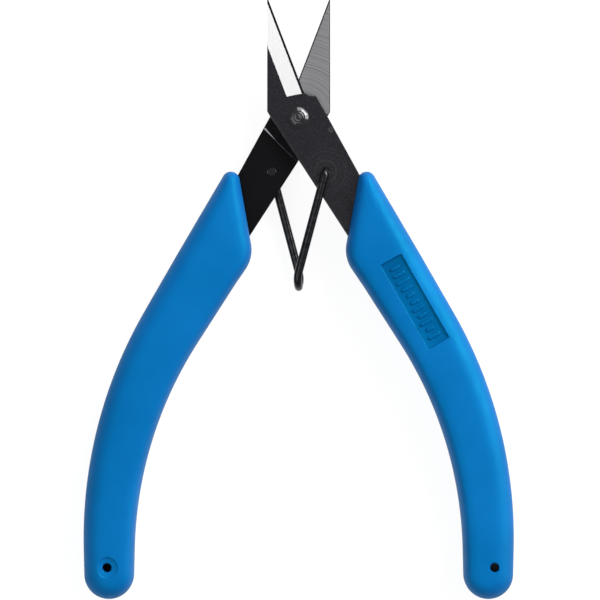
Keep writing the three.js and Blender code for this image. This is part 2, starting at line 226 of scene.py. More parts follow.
def away_from(finish, place=(0.0, 0.0)):
    """Distance in the plane of the tool from a point beside the pivot, or from the pivot itself."""
    shift = (-place[0], -pivot.y - place[1], 0.0)
    centred = add(finish, "ShaderNodeMapping", Location=shift, Scale=(1.0, 1.0, 0.0))
    tie(finish, object_place(finish), "Object", centred, "Vector")
    made = add(finish, "ShaderNodeVectorMath", {"operation": "LENGTH"})
    tie(finish, centred, "Vector", made, "Vector")
    return made


def laid_over(finish, amount, amount_output, under, under_output, colour):
    """One colour laid over another by an amount from 0 to 1."""
    made = add(finish, "ShaderNodeMix", {"data_type": "RGBA"})
    made.inputs[mix_over].default_value = (*colour, 1.0)
    tie(finish, amount, amount_output, made, 0)
    tie(finish, under, under_output, made, mix_under)
    return made


def product(finish, first, first_output, second, second_output):
    """Two amounts multiplied."""
    made = add(finish, "ShaderNodeMath", {"operation": "MULTIPLY"})
    tie(finish, first, first_output, made, 0)
    tie(finish, second, second_output, made, 1)
    return made


def oxide_finish(name, stops, wear_colour, sheen):
    """Blackened steel: mottled, swirled about the pivot and the hook hole, and rubbed in one spot."""
    made = new_finish(name, Metallic=0.55, Specular_IOR_Level=sheen)
    mottle = grain(made, 2600.0, 5.0, 0.75)
    tone = ramp(made, mottle, stops)
    rub = spread(made, away_from(made, rub_place), "Value", 0.8, 0.0, 0.0001, 0.0007)
    rub_grain = spread(made, grain(made, 2200.0), "Fac", 0.0, 1.0, 0.42, 0.62)
    rub_amount = product(made, rub, "Result", rub_grain, "Result")
    rubbed = laid_over(made, rub_amount, "Value", tone, "Color", wear_colour)
    hook = away_from(made, hook_place)
    rings = spread(made, lines_by(made, hook, "Value", 3400.0), "Fac", 0.0, 1.0, 0.52, 0.66)
    ring_reach = spread(made, hook, "Value", 0.16, 0.0, 0.0025, 0.0055)
    ring_amount = product(made, rings, "Result", ring_reach, "Result")
    ringed = laid_over(made, ring_amount, "Value", rubbed, mix_colour, wear_colour)
    give(made, "Base Color", ringed, mix_colour)
    patches = spread(made, grain(made, 260.0), "Fac", 0.38, 0.52)
    give(made, "Roughness", patches, "Result")
    swirl = lines_by(made, away_from(made), "Value", 4200.0)
    scratch = bump(made, swirl, 0.16, 0.00003)
    pitted = bump(made, mottle, 0.55, 0.00005, scratch)
    give(made, "Normal", pitted, "Normal")
    return made


outer_stops = [
    (0.3, (0.0035, 0.003, 0.0045)),
    (0.52, (0.009, 0.0085, 0.0112)),
    (0.72, (0.022, 0.021, 0.026)),
]
black_oxide = oxide_finish("black_oxide", outer_stops, (0.10, 0.10, 0.105), 0.28)
# The inner faces, and so the rear arm's whole visible face, get a darker and less glossy copy of the black
# oxide: partly a darker tone of that face, partly painted shade for the shadow that the front arm casts over
# it.
inner_painted_shade_stops = [(0.3, (0.001, 0.001, 0.0012)), (0.55, (0.0024, 0.0023, 0.003)), (0.75, (0.007, 0.0068, 0.008))]
inner_oxide_painted_shade = oxide_finish("inner_oxide_painted_shade", inner_painted_shade_stops, (0.02, 0.02, 0.022), 0.12)


def coat(finish, pattern, stops, gloss, low, high):
    """Colours a finish by one pattern, and makes it rougher or glossier by another or the same one."""
    give(finish, "Base Color", ramp(finish, pattern, stops), "Color")
    give(finish, "Roughness", spread(finish, gloss, "Fac", low, high), "Result")


ground_steel = new_finish("ground_steel", Metallic=1.0)
wheel_marks = lines_by(ground_steel, away_from(ground_steel), "Value", 3300.0, 4.0)
ground_stops = [(0.25, (0.17, 0.17, 0.175)), (0.5, (0.245, 0.245, 0.25)), (0.75, (0.33, 0.33, 0.338))]
coat(ground_steel, wheel_marks, ground_stops, wheel_marks, 0.3, 0.45)
give(ground_steel, "Normal", bump(ground_steel, wheel_marks, 0.25, 0.00003), "Normal")

bright_bevel = new_finish("bright_bevel", Metallic=1.0)
bevel_place = add(bright_bevel, "ShaderNodeSeparateXYZ")
tie(bright_bevel, object_place(bright_bevel), "Object", bevel_place, "Vector")
bevel_lines = lines_by(bright_bevel, bevel_place, "X", 5200.0, 3.0)
bevel_stops = [(0.3, (0.225, 0.225, 0.228)), (0.7, (0.262, 0.262, 0.265))]
coat(bright_bevel, bevel_lines, bevel_stops, bevel_lines, 0.55, 0.6)
give(bright_bevel, "Normal", bump(bright_bevel, bevel_lines, 0.08, 0.00001), "Normal")

# The narrow land at the foot of the jaw's ground bevel is ground steel, here given a near-black, almost
# unreflective finish: painted shade, the dark line along the cutting edge.
land_painted_shade = new_finish("land_painted_shade", Metallic=0.0, Specular_IOR_Level=0.02)
land_grain = grain(land_painted_shade, 1800.0)
land_painted_shade_stops = [(0.3, (0.001, 0.001, 0.0012)), (0.7, (0.004, 0.004, 0.005))]
coat(land_painted_shade, land_grain, land_painted_shade_stops, land_grain, 0.45, 0.6)

worn_edge = new_finish("worn_edge", Metallic=1.0)
worn_grain = grain(worn_edge, 700.0, 4.0)
worn_stops = [(0.35, (0.012, 0.012, 0.013)), (0.65, (0.05, 0.05, 0.053))]
coat(worn_edge, worn_grain, worn_stops, worn_grain, 0.3, 0.45)

arm_finishes = [black_oxide, ground_steel, bright_bevel, land_painted_shade, worn_edge, inner_oxide_painted_shade]
OXIDE, GROUND, BRIGHT, LAND, WORN, INNER = range(len(arm_finishes))
lit_ground_foot = 0.002
ground_step = 0.00015
hook_hole_radius = 0.000845
hook_hole_reach = 0.0012
pad_lean = math.radians(29.9)
pad_way = Vector((math.sin(pad_lean), -math.cos(pad_lean), 0.0))
pad_reach = 0.00665
pad_side = Vector((math.cos(pad_lean), math.sin(pad_lean), 0.0))
# The ground pad keeps its ground finish only on the jaw and in a thin strip along the pad's edge, turned so
# that it tapers out where the front arm's shadow crosses it; the rest of the pad is painted shade.
lit_strip_turn = math.radians(7)
lit_strip_way = pad_way * math.cos(lit_strip_turn) + pad_side * math.sin(lit_strip_turn)
lit_strip_reach = pad_reach * math.cos(lit_strip_turn)
edge_line_width = 0.00024
land_width = 0.00046
edge_offset = 0.00272
edge_lean = math.asin(edge_offset / jaw_reach)
edge_normal = Vector((math.cos(edge_lean), math.sin(edge_lean), 0.0))
facing_down = -0.99
bevel_low, bevel_high = 0.86, 0.97
land_low = 0.3


def is_mating(face):
    """Whether a face of the closed arm bears on the other arm."""
    return face.normal.z < facing_down and face.calc_center_median().z < face_in + ground_step / 5


def is_bevel(face):
    """Whether a face is the long ground slope down to the cutting edge."""
    return bevel_low < face.normal.z < bevel_high


def arm_finish_of(face):
    """Which finish a face of the closed arm has, from where it is and how it leans."""
    middle = face.calc_center_median()
    # The rest of the ground pad takes the darker inner oxide as painted shade for the front arm's shadow, and
    # so does a strip along the cutting edge.
    if is_mating(face):
        by_edge = middle.dot(edge_normal) > edge_offset - edge_line_width
        in_lit_strip = middle.dot(lit_strip_way) > lit_strip_reach
        return GROUND if (middle.y > lit_ground_foot and not by_edge) or in_lit_strip else INNER
    if face.normal.z < facing_down:
        return INNER
    if is_bevel(face):
        return LAND if middle.dot(edge_normal) > edge_offset - land_width else BRIGHT
    if land_low < face.normal.z < bevel_low:
        return LAND
    return OXIDE


def cut_faces(plate, faces, place, normal):
    """Cuts only these faces along a line, so that each side of it can have its own finish."""
    cut = faces + list({edge for face in faces for edge in face.edges})
    cut += list({vertex for face in faces for vertex in face.verts})
    bmesh.ops.bisect_plane(plate, geom=cut, dist=same_place / 10, plane_co=place, plane_no=normal)


def crisp(mesh, angle):
    """Smooth shading, except across edges sharper than the angle."""
    mesh.shade_smooth()
    mesh.set_sharp_from_angle(angle=math.radians(angle))


def finish_arm(side):
    """Marks off the ground faces of one arm, breaks its edges and gives each face its finish."""
    plate = bmesh.new()
    plate.from_mesh(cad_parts[side + "_arm"].data)
    bmesh.ops.transform(plate, matrix=from_closed(side).inverted(), verts=plate.verts)
    bmesh.ops.remove_doubles(plate, verts=plate.verts, dist=same_place)
    flat_angle = math.radians(0.4)
    bmesh.ops.dissolve_limit(plate, angle_limit=flat_angle, verts=plate.verts, edges=plate.edges)
    for place, normal in [
        (edge_normal * (edge_offset - edge_line_width), edge_normal),
        (Vector((0.0, lit_ground_foot, 0.0)), Vector((0.0, 1.0, 0.0))),
        (lit_strip_way * lit_strip_reach, lit_strip_way),
    ]:
        cut_faces(plate, [face for face in plate.faces if is_mating(face)], place, normal)
    bevel = [face for face in plate.faces if is_bevel(face)]
    cut_faces(plate, bevel, edge_normal * (edge_offset - land_width), edge_normal)
    plate.normal_update()
    for vertex in plate.verts:
        reach = vertex.co.xy - hook_axis
        if reach.length < hook_hole_reach:
            vertex.co.xy = hook_axis + reach.normalized() * hook_hole_radius
    for face in plate.faces:
        face.material_index = arm_finish_of(face)

    def broken(edge):
        """Edges that the tumbling has rounded: the outline's, but not the ground ones nor the tip's."""
        if len(edge.link_faces) != 2 or edge.calc_face_angle(0.0) < break_angle:
            return False
        if any(face.material_index == LAND for face in edge.link_faces):
            return False
        middle = (edge.verts[0].co + edge.verts[1].co) / 2
        outer = all(vertex.co.z > face_out - same_place for vertex in edge.verts)
        inner = all(vertex.co.z < face_in + same_place for vertex in edge.verts)
        by_hook = (middle.xy - hook_axis).length < hook_hole_reach
        return middle.y < jaw_reach - tip_length and (outer or inner) and not by_hook

    edges = [edge for edge in plate.edges if broken(edge)]
    bmesh.ops.bevel(
        plate,
        geom=edges,
        offset=edge_break,
        segments=2,
        profile=0.6,
        affect="EDGES",
        clamp_overlap=False,
        material=WORN,
    )
    bmesh.ops.transform(plate, matrix=from_closed(side), verts=plate.verts)
    mesh = bpy.data.meshes.new(side + "_arm_plate")
    plate.to_mesh(mesh)
    plate.free()
    for finish in arm_finishes:
        mesh.materials.append(finish)
    crisp(mesh, 22)
    for face in mesh.polygons:
        face.use_smooth = face.material_index not in (BRIGHT, LAND)
    piece = shown(side + "_arm_plate", mesh)
    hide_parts(side + "_arm")
    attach(piece, side + "_half")


finish_arm("rear")
finish_arm("front")

# ---------- grips ----------
# Soft blue rubber mouldings, 9.6 mm thick, moulded over the arms' tangs, one turned over like its arm.
# The palm side is rounded wide and the inner side tightly.
# One face has a sunk panel, and both have a pin hole near the end.
handle_lean = math.radians(16.8)
handle_straight = 0.0491
handle_bend_radius = 0.085
handle_bend_length = handle_bend_radius * (handle_lean + open_half_angle)
end_straight = 0.0052
spine_length = handle_straight + handle_bend_length + end_straight
grip_mouth_at = 0.0209
grip_mouth_half = 0.00685
grip_end_half = 0.00495
grip_mouth_slant = 1 / math.tan(math.radians(41.4))
grip_half_thick = 0.0048
grip_side_half = 0.0014
grip_crown = 0.00035
apex_radius = 0.00175
bulge_radius = 0.007
palm_round = 0.0034
inner_round = 0.0019
mouth_round = 0.0023
fan_at = 0.0355
ridge_softness = 0.0011
edge_softness = 0.6
parting_groove = 0.00005
parting_half = 0.00016
apex_share = 0.12


def outward(lean):
    """The way out of a handle's side, square to the way down it."""
    return Vector((math.cos(lean), math.sin(lean)))


def spine(s):
    """Point and lean of the handle's middle line at a distance from the pivot."""
    point = along(handle_lean) * min(s, handle_straight)
    if s <= handle_straight:
        return point, handle_lean
    turned = min(s - handle_straight, handle_bend_length)
    lean = handle_lean - turned / handle_bend_radius
    point += (outward(lean) - outward(handle_lean)) * handle_bend_radius
    return point + along(lean) * max(0.0, s - handle_straight - handle_bend_length), lean


def beside(s, offset):
    """The point at an offset out from the middle line."""
    point, lean = spine(s)
    return point + outward(lean) * offset


def grip_half(s):
    """Half the grip's width at a distance from the pivot."""
    share = (s - grip_mouth_at) / (spine_length - grip_mouth_at)
    return grip_mouth_half + (grip_end_half - grip_mouth_half) * share


def fillet(before, corner, after, radius, steps):
    """Points of the arc that rounds a corner between its two neighbours."""
    to_before = (before - corner).normalized()
    to_after = (after - corner).normalized()
    half = math.acos(to_before.dot(to_after)) / 2
    centre = corner + (to_before + to_after).normalized() * (radius / math.sin(half))
    start = corner + to_before * (radius / math.tan(half)) - centre
    end = corner + to_after * (radius / math.tan(half)) - centre
    turn = math.atan2(start.x * end.y - start.y * end.x, start.dot(end))
    return [centre + Matrix.Rotation(turn * i / steps, 2) @ start for i in range(steps + 1)]


def between(start, end, steps):
    """Even points along a straight, without its ends."""
    return [start.lerp(end, i / steps) for i in range(1, steps)]


def grip_outline():
    """The outline from the outer side round the end and back over the mouth, as (point, foot, rounding)."""
    outer_mouth_at = grip_mouth_at - grip_mouth_half * grip_mouth_slant
    inner_mouth_at = grip_mouth_at + grip_mouth_half * grip_mouth_slant
    apex = beside(outer_mouth_at, grip_mouth_half)
    bulge = beside(inner_mouth_at, -grip_mouth_half)
    outer_fan = beside(fan_at, grip_half(fan_at))
    inner_fan = beside(fan_at, -grip_half(fan_at))
    side_steps = 84
    stations = [fan_at + (spine_length - fan_at) * i / side_steps for i in range(side_steps + 1)]
    outline = [(beside(s, grip_half(s)), spine(s)[0], palm_round) for s in stations]
    end_point, end_lean = spine(spine_length)
    end_steps = 40
    for i in range(1, end_steps):
        angle = math.pi * i / end_steps
        way = outward(end_lean) * math.cos(angle) + along(end_lean) * math.sin(angle)
        rounding = inner_round + (palm_round - inner_round) * (0.5 + 0.5 * math.cos(angle))
        outline.append((end_point + way * grip_end_half, end_point, rounding))
    outline += [(beside(s, -grip_half(s)), spine(s)[0], inner_round) for s in reversed(stations)]

    bulge_steps, apex_steps, rise_steps = 22, 18, 30
    bulge_arc = fillet(inner_fan, bulge, apex, bulge_radius, bulge_steps)
    apex_arc = fillet(bulge, apex, outer_fan, apex_radius, apex_steps)
    widening = palm_round - mouth_round
    back = [(point, inner_round) for point in between(inner_fan, bulge_arc[0], 4)]
    for i, point in enumerate(bulge_arc):
        back.append((point, inner_round + (mouth_round - inner_round) * i / bulge_steps))
    back += [(point, mouth_round) for point in between(bulge_arc[-1], apex_arc[0], 20)]
    for i, point in enumerate(apex_arc):
        back.append((point, mouth_round + widening * apex_share * i / apex_steps))
    for i, point in enumerate(between(apex_arc[-1], outer_fan, rise_steps), start=1):
        share = i / rise_steps
        eased = share * share * (3 - 2 * share)
        back.append((point, mouth_round + widening * (apex_share + (1 - apex_share) * eased)))
    fan = spine(fan_at)[0]
    outline += [(point, fan, rounding) for point, rounding in back]

    widths = [rounding for point, foot, rounding in outline]
    smoothing_passes = 60
    for _ in range(smoothing_passes):
        following = widths[1:] + widths[:1]
        widths = [(widths[i - 1] + 2 * width + following[i]) / 4 for i, width in enumerate(widths)]
    return [(point, foot, width) for (point, foot, rounding), width in zip(outline, widths)]


def grip_rings(outline):
    """Rings of the upper half, each inside and above the one before, down to the handle's middle line."""
    count = len(outline)
    rays = []
    for i, (point, foot, rounding) in enumerate(outline):
        run = outline[(i + 1) % count][0] - outline[i - 1][0]
        inwards = Vector((run.y, -run.x)).normalized()
        inwards = inwards if inwards.dot(foot - point) > 0 else -inwards
        rays.append((point, foot - point, inwards.dot(foot - point), rounding))
    round_steps = 10
    flat_steps = 6
    edge = np.array([tuple(point) for point, foot, rounding in outline])
    side = np.roll(edge, -1, axis=0) - edge

    def to_edge(places):
        """Distance of each place from the outline."""
        apart = places[:, None, :] - edge[None, :, :]
        share = np.clip((apart * side[None]).sum(2) / (side * side).sum(1)[None], 0, 1)
        return np.linalg.norm(apart - share[..., None] * side[None], axis=2).min(axis=1)

    widths = np.array([rounding for point, foot, rounding in outline])
    spokes = [((0.0, 0.0), 2.0)]
    spoke_count = 10
    for i in range(spoke_count):
        angle = math.tau * i / spoke_count
        x, y = math.cos(angle), math.sin(angle)
        spokes += [((x * part, y * part), 1.0) for part in (0.5, 1.0)]
    whole = sum(weight for spoke, weight in spokes)

    def rounded_heights(places, crowned):
        """Heights over the places, each the mean of a small disc, which softens the ridges."""
        places = np.array(places)
        reach = np.minimum(ridge_softness, edge_softness * to_edge(places))
        total = np.zeros(len(places))
        for spoke, weight in spokes:
            share = np.minimum(1.0, to_edge(places + reach[:, None] * np.array(spoke)) / widths)
            total += weight * np.sqrt(1 - (1 - share) ** 2)
        return grip_side_half + (np.array(crowned) - grip_side_half) * total / whole

    rings = []
    for k in range(round_steps + flat_steps + 1):
        places = []
        crowned = []
        for point, ray, depth, rounding in rays:
            if k <= round_steps:
                inset = rounding * (1 - math.cos(math.pi / 2 * k / round_steps))
            else:
                inset = rounding + (depth - rounding) * (k - round_steps) / flat_steps
            places.append(tuple(point + ray * (inset / depth)))
            crowned.append(grip_half_thick - grip_crown * (1 - inset / depth) ** 2)
        heights = rounded_heights(places, crowned)
        rings.append([(x, y, float(height)) for (x, y), height in zip(places, heights)])
    return rings


def skin(shape, rows):
    """Faces between each ring of points and the next."""
    for row, following in zip(rows, rows[1:]):
        for i in range(len(row)):
            j = (i + 1) % len(row)
            shape.faces.new((row[i], row[j], following[j], following[i]))


def mesh_from(shape, name):
    """Turns all the faces outwards and keeps them as a mesh."""
    bmesh.ops.recalc_face_normals(shape, faces=shape.faces)
    mesh = bpy.data.meshes.new(name)
    shape.to_mesh(mesh)
    shape.free()
    return mesh


def moulding():
    """The whole grip before it is cut: the upper half, the parting groove and the same half below."""
    outline = grip_outline()
    upper = grip_rings(outline)
    middle = []
    for height, sink in [(parting_half, 0.0), (0.0, parting_groove), (-parting_half, 0.0)]:
        level = []
        for point, foot, rounding in outline:
            inset = (foot - point).normalized() * sink
            level.append((point.x + inset.x, point.y + inset.y, height))
        middle.append(level)
    lower = [[(x, y, -z) for x, y, z in ring] for ring in upper]
    shape = bmesh.new()
    skin(shape, [[shape.verts.new(place) for place in ring] for ring in upper[::-1] + middle + lower])
    bmesh.ops.remove_doubles(shape, verts=shape.verts, dist=2 * same_place)
    return mesh_from(shape, "moulding")


def prism(points, low, high, name):
    """A flat outline made into a block between two heights."""
    shape = bmesh.new()
    bottom = [shape.verts.new((point.x, point.y, low)) for point in points]
    top = [shape.verts.new((point.x, point.y, high)) for point in points]
    shape.faces.new(bottom)
    shape.faces.new(top)
    skin(shape, [bottom, top])
    return mesh_from(shape, name)


tang_start = 0.030
tang_end_half = 0.0024
tang_cover = 0.0026
tang_end_at = spine_length + grip_end_half - tang_cover - tang_end_half
tang_steps = 24
tang_outer, tang_outer_taper = 0.0051, math.radians(2.5)
tang_inner, tang_inner_taper = 0.0047, math.radians(1.7)
slot_clearance = 0.00012


def arm_half(s, offset, taper):
    """How far one side of the arm is from the handle's middle line."""
    def edge_at(t):
        return offset / math.cos(taper) - t * math.tan(taper)

    if s <= tang_start:
        return edge_at(s)
    share = (s - tang_start) / (tang_end_at - tang_start)
    return edge_at(tang_start) + (tang_end_half - edge_at(tang_start)) * share


def tang_slot():
    """The hollow that the tang fills, cut a little larger than the tang."""
    stations = [tang_start + (tang_end_at - tang_start) * i / tang_steps for i in range(tang_steps + 1)]
    stations = [0.0] + stations
    outer = [beside(s, arm_half(s, tang_outer, tang_outer_taper) + slot_clearance) for s in stations]
    inner = [beside(s, -arm_half(s, tang_inner, tang_inner_taper) - slot_clearance) for s in stations]
    slot_low = face_in + ground_step - slot_clearance
    return prism(outer + inner[::-1], slot_low, face_out + slot_clearance, "slot")


panel_length = 0.0192
panel_width = 0.0049
panel_depth = 0.00045
panel_at = 0.0435
panel_offset = 0.0006
panel_turn = math.radians(-1.5)
panel_floor = grip_half_thick - panel_depth


def panel_place():
    """Carries the panel from its own centre to its place on the grip."""
    point, lean = spine(panel_at)
    point = point + outward(lean) * panel_offset
    return Matrix.Translation((point.x, point.y, 0.0)) @ Matrix.Rotation(lean + panel_turn, 4, "Z")


def panel_cutter():
    """A shallow tray with drafted walls and a rolled rim, which leaves the sunk panel behind."""
    levels = [(-0.00018, 0.0), (-0.00006, 0.00006), (0.0, 0.00032), (0.00008, 0.00042), (0.0006, 0.0008)]
    corner = 0.00035
    corner_steps = 4
    shape = bmesh.new()
    rows = []
    for grow, rise in levels:
        half_x = panel_width / 2 + grow
        half_y = panel_length / 2 + grow
        row = []
        for sx, sy, first in [(1, 1, 0), (-1, 1, 90), (-1, -1, 180), (1, -1, 270)]:
            for k in range(corner_steps + 1):
                angle = math.radians(first + 90 * k / corner_steps)
                x = sx * (half_x - corner) + corner * math.cos(angle)
                y = sy * (half_y - corner) + corner * math.sin(angle)
                row.append(shape.verts.new((x, y, panel_floor + rise)))
        rows.append(row)
    skin(shape, rows)
    shape.faces.new(rows[0])
    shape.faces.new(rows[-1])
    bmesh.ops.transform(shape, matrix=panel_place(), verts=shape.verts)
    return mesh_from(shape, "panel")


def turned(profile, segments, name, place):
    """A closed profile of (radius, height) points spun round the Z axis."""
    shape = bmesh.new()
    rows = []
    for radius, height in profile:
        if radius < same_place / 10:
            rows.append([shape.verts.new((0.0, 0.0, height))] * segments)
            continue
        angles = [math.tau * i / segments for i in range(segments)]
        rows.append([shape.verts.new((radius * math.cos(a), radius * math.sin(a), height)) for a in angles])
    for row, following in zip(rows, rows[1:] + rows[:1]):
        if row[0] is row[1] and following[0] is following[1]:
            continue
        for i in range(segments):
            j = (i + 1) % segments
            corners = [row[i], row[j], following[j], following[i]]
            shape.faces.new(list(dict.fromkeys(corners)))
    bmesh.ops.transform(shape, matrix=place, verts=shape.verts)
    return mesh_from(shape, name)


pin_hole_radius = 0.0009
plain_hole_beside = 0.00115
dished_hole_beside = 0.0003
pin_hole_from_end = 0.0064
pin_hole_at = spine_length + grip_end_half - pin_hole_from_end
pin_hole_floor = (face_in + face_out) / 2
pin_hole_sides = 48


def pin_hole(offset, side, rim):
    """The hole left by a mould pin, with its rim profile of (radius, depth) points under the surface."""
    point = beside(pin_hole_at, offset)
    profile = [(0.0, side * pin_hole_floor), (pin_hole_radius, side * pin_hole_floor)]
    profile += [(radius, grip_half_thick - depth) for radius, depth in rim]
    profile += [(0.0, profile[-1][1])]
    flip = Matrix.Rotation(math.pi if side < 0 else 0.0, 4, "X")
    return turned(profile, pin_hole_sides, "pin_hole", Matrix.Translation((point.x, point.y, 0.0)) @ flip)


plain_rim = [(0.0009, 0.0003), (0.00096, 0.00018), (0.00108, 0.00008), (0.0013, -0.0004)]
dished_rim = [
    (0.0009, 0.0005),
    (0.00097, 0.00036),
    (0.0011, 0.0003),
    (0.0018, 0.00027),
    (0.002, 0.00018),
    (0.00215, 0.00008),
    (0.0024, -0.0004),
]

grip_rubber = new_finish("grip_rubber", Specular_IOR_Level=0.48, Specular_Tint=(0.0, 1.0, 0.85, 1.0))
rubber_cloud = grain(grip_rubber, 75.0, 2.0, 0.5)
rubber_stops = [(0.32, (0.001, 0.068, 0.246)), (0.5, (0.0015, 0.075, 0.268)), (0.68, (0.002, 0.082, 0.289))]
coat(grip_rubber, rubber_cloud, rubber_stops, grain(grip_rubber, 420.0), 0.5, 0.62)
give(grip_rubber, "Normal", bump(grip_rubber, grain(grip_rubber, 3600.0, 2.0), 0.12, 0.00003), "Normal")

panel_rubber = grip_rubber.copy()
panel_rubber.name = "panel_rubber"
panel_ramp = next(node for node in panel_rubber.node_tree.nodes if node.type == "VALTORGB")
panel_colours = [(0.0, 0.043, 0.17), (0.0, 0.049, 0.185), (0.0, 0.055, 0.2)]
for element, colour in zip(panel_ramp.color_ramp.elements, panel_colours):
    element.color = (*colour, 1.0)


def made_plain(maker, name):
    """Turns an object and its modifiers into one plain mesh object."""
    bpy.context.view_layer.update()
    result = maker.evaluated_get(bpy.context.evaluated_depsgraph_get())
    mesh = bpy.data.meshes.new_from_object(result)
    mesh.name = name
    bpy.data.objects.remove(maker)
    return shown(name, mesh)


def cut_away(mesh, cutters, name):
    """Cuts each cutter out of a body, and keeps the one that is left."""
    body = shown(name, mesh)
    helpers = []
    for cutter in cutters:
        helper = shown("cutter", cutter)
        helpers.append(helper)
        cut = body.modifiers.new("cut", "BOOLEAN")
        cut.operation = "DIFFERENCE"
        cut.solver = "EXACT"
        cut.object = helper
    made = made_plain(body, name)
    for helper in helpers:
        bpy.data.objects.remove(helper)
    return made


cutters = [
    tang_slot(),
    panel_cutter(),
    pin_hole(plain_hole_beside, 1, plain_rim),
    pin_hole(dished_hole_beside, -1, dished_rim),
]
cut_moulding = cut_away(moulding(), cutters, "cut_moulding")
cut_moulding.data.materials.clear()
cut_moulding.data.materials.append(grip_rubber)
cut_moulding.data.materials.append(panel_rubber)
to_panel = panel_place().inverted()
panel_slack = 0.0001
panel_wall = 0.0004
for face in cut_moulding.data.polygons:
    place = to_panel @ face.center
    sunk = panel_floor - panel_slack < place.z < panel_floor + panel_wall
    within_width = abs(place.x) < panel_width / 2 + panel_slack
    within_length = abs(place.y) < panel_length / 2 + panel_slack
    face.material_index = 1 if sunk and within_width and within_length else 0
for side in ("front", "rear"):
    grip_mesh = cut_moulding.data.copy()
    grip_mesh.name = side + "_grip_moulding"
    grip_mesh.transform(from_closed(side))
    crisp(grip_mesh, 32)
    grip = shown(side + "_grip_moulding", grip_mesh)
    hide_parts(side + "_grip")
    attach(grip, side + "_half")
bpy.data.objects.remove(cut_moulding)

# ---------- raised marks in the panel ----------
# A row of small plain raised pads fills the sunk panel of each grip, for the thumb to find.
# They are moulded in one with the rubber, and each stands lower than the panel's rim.
mark_count = 11
mark_pitch = 0.00155
mark_height = 0.00022
mark_half_long = 0.00115
mark_half_wide = 0.00042


def group_tree(name, sizes):
    """A Geometry Nodes tree with a geometry input, named size inputs and a geometry output."""
    tree = bpy.data.node_groups.new(name, "GeometryNodeTree")
    tree.interface.new_socket("Geometry", in_out="INPUT", socket_type="NodeSocketGeometry")
    sockets = {}
    for label, kind in sizes:
        sockets[label] = tree.interface.new_socket(label, in_out="INPUT", socket_type=kind).identifier
    tree.interface.new_socket("Geometry", in_out="OUTPUT", socket_type="NodeSocketGeometry")
    given = tree.nodes.new("NodeGroupInput")
    taken = tree.nodes.new("NodeGroupOutput")
    return tree, sockets, given, taken


def join(tree, *links):
    """Links each source's output to its target's input."""
    for source, output, target, socket in links:
        tree.links.new(source.outputs[output], target.inputs[socket])


def mark_row(mark_finish):
    """Sets copies of one pad in a row, each a little longer or shorter than the next."""
    sizes = [
        ("Count", "NodeSocketInt"),
        ("Pitch", "NodeSocketFloat"),
        ("Shortest", "NodeSocketFloat"),
        ("Longest", "NodeSocketFloat"),
        ("Seed", "NodeSocketInt"),
    ]
    tree, sockets, given, taken = group_tree("panel mark row", sizes)
    row = tree.nodes.new("GeometryNodeMeshLine")
    step = tree.nodes.new("ShaderNodeCombineXYZ")
    length = tree.nodes.new("FunctionNodeRandomValue")
    size = tree.nodes.new("ShaderNodeCombineXYZ")
    size.inputs["Y"].default_value = 1.0
    size.inputs["Z"].default_value = 1.0
    set_out = tree.nodes.new("GeometryNodeInstanceOnPoints")
    realize = tree.nodes.new("GeometryNodeRealizeInstances")
    paint = tree.nodes.new("GeometryNodeSetMaterial")
    paint.inputs["Material"].default_value = mark_finish
    random_low, random_high, random_float = 2, 3, 1
    join(
        tree,
        (given, "Count", row, "Count"),
        (given, "Pitch", step, "Y"),
        (step, "Vector", row, "Offset"),
        (given, "Shortest", length, random_low),
        (given, "Longest", length, random_high),
        (given, "Seed", length, "Seed"),
        (length, random_float, size, "X"),
        (row, "Mesh", set_out, "Points"),
        (given, "Geometry", set_out, "Instance"),
        (size, "Vector", set_out, "Scale"),
        (set_out, "Instances", realize, "Geometry"),
        (realize, "Geometry", paint, "Geometry"),
        (paint, "Geometry", taken, "Geometry"),
    )
    return tree, sockets


def pad():
    """One raised pad with a rounded top, closed underneath."""
    shape = bmesh.new()
    corners = 28
    squareness = 0.6
    rows = []
    for share, rise in [(1.0, -0.05), (1.0, 0.35), (0.93, 0.72), (0.78, 0.94), (0.45, 1.0)]:
        row = []
        for i in range(corners):
            angle = math.tau * i / corners
            x = abs(math.cos(angle)) ** squareness * math.copysign(1, math.cos(angle))
            y = abs(math.sin(angle)) ** squareness * math.copysign(1, math.sin(angle))
            inset = (1 - share) * mark_half_wide
            place = (x * (mark_half_long - inset), y * (mark_half_wide - inset), rise * mark_height)
            row.append(shape.verts.new(place))
        rows.append(row)
    skin(shape, rows)
    shape.faces.new(rows[0])
    shape.faces.new(rows[-1])
    return mesh_from(shape, "pad")


mark_tree, mark_sockets = mark_row(panel_rubber)
mark_values = {"Count": mark_count, "Pitch": mark_pitch, "Shortest": 0.7, "Longest": 1.35, "Seed": 4}
for side in ("front", "rear"):
    maker = shown("mark_maker", pad())
    row_modifier = maker.modifiers.new("row", "NODES")
    row_modifier.node_group = mark_tree
    for label, value in mark_values.items():
        row_modifier[mark_sockets[label]] = value
    marks = made_plain(maker, side + "_panel_marks")
    row_start = Matrix.Translation((0.0, -mark_pitch * (mark_count - 1) / 2, panel_floor))
    marks.data.transform(from_closed(side) @ panel_place() @ row_start)
    crisp(marks.data, 40)
    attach(marks, side + "_half")

# ---------- return spring ----------
# One length of 1.65 mm spring wire, blackened, bent into a hairpin that pushes the arms open.
# Each end is turned square and hooks into a hole in its arm, and the wire crosses over at the U-bend.
wire_radius = 0.000825
hook_bend = 0.0011
hook_end_short = 0.0009
hook_end_height = face_in + hook_end_short
leg_gap = 0.0001
leg_height = face_out + leg_gap + wire_radius
spring_reach = 0.03395
quarter_handle = 0.5523
hook_steps, leg_steps, u_bend_steps = 12, 16, 30
wire_sides = 24


def bezier(a, b, c, d, steps):
    """Points along a curve from a to d, without its start."""
    made = []
    for i in range(1, steps + 1):
        t = i / steps
        made.append(a * (1 - t) ** 3 + b * 3 * t * (1 - t) ** 2 + c * 3 * t * t * (1 - t) + d * t**3)
    return made


